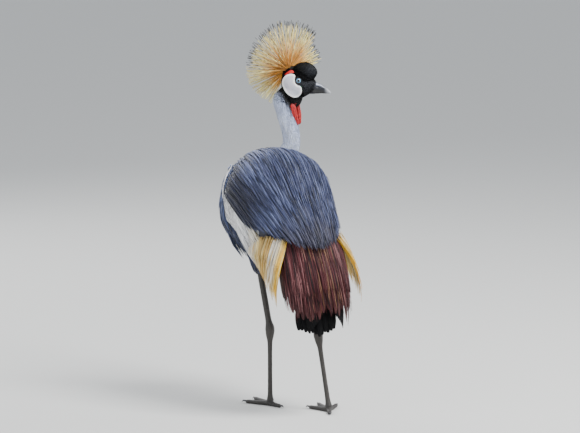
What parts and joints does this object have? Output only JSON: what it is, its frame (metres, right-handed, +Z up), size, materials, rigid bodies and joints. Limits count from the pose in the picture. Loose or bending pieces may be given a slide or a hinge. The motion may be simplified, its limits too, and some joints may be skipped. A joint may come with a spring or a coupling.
{
  "type": "grey crowned crane model",
  "caption": "Life-size grey crowned crane standing in mid stride, looking back over its shoulder, with a golden crest, white cheeks, red wattle and long drooping plumes.",
  "frame": {"origin": "bottom centre of the whole bird's bounding box, on the floor between the two feet", "axes": "+Z up; -Y is the way the trunk and feet head; +X is towards the bird's left side"},
  "size_m": [0.2818, 0.4244, 0.9654],
  "materials": {
    "slate_plumage": "matte, blue-grey feathers",
    "pale_plumage": "matte, pale blue-grey feathers",
    "black_plumage": "matte, velvety black feathers",
    "eye": "wet gloss",
    "white_cheek": "smooth bare skin",
    "red_skin": "soft sheen, bare skin",
    "horn": "satin horn",
    "crest_bristles": "matte, stiff golden bristles",
    "white_plumage": "matte, white feathers",
    "golden_plumage": "matte, straw to golden plumes",
    "chestnut_plumage": "matte, chestnut flight feathers",
    "dark_leg": "scaled skin, satin"
  },
  "bodies": {
    "root": {"torso": "slate_plumage", "neck": "pale_plumage", "head": "black_plumage", "eye_left": "eye", "cheek_left": "white_cheek", "cheek_cap_left": "red_skin", "eye_right": "eye", "cheek_right": "white_cheek", "cheek_cap_right": "red_skin", "bill_upper": "horn", "bill_lower": "horn", "wattle": "red_skin", "crest": "crest_bristles", "wing_left": "white_plumage", "golden_plumes_left": "golden_plumage", "secondaries_left": "chestnut_plumage", "primaries_left": "black_plumage", "wing_right": "white_plumage", "golden_plumes_right": "golden_plumage", "secondaries_right": "chestnut_plumage", "primaries_right": "black_plumage", "tail": "black_plumage", "mantle": "slate_plumage", "breast_plumes": "slate_plumage", "thigh_left": "slate_plumage", "leg_left": "dark_leg", "foot_left": "dark_leg", "claw_inner_left": "horn", "claw_middle_left": "horn", "claw_outer_left": "horn", "claw_hind_left": "horn", "thigh_right": "slate_plumage", "leg_right": "dark_leg", "foot_right": "dark_leg", "claw_inner_right": "horn", "claw_middle_right": "horn", "claw_outer_right": "horn", "claw_hind_right": "horn"}
  },
  "joints": []
}
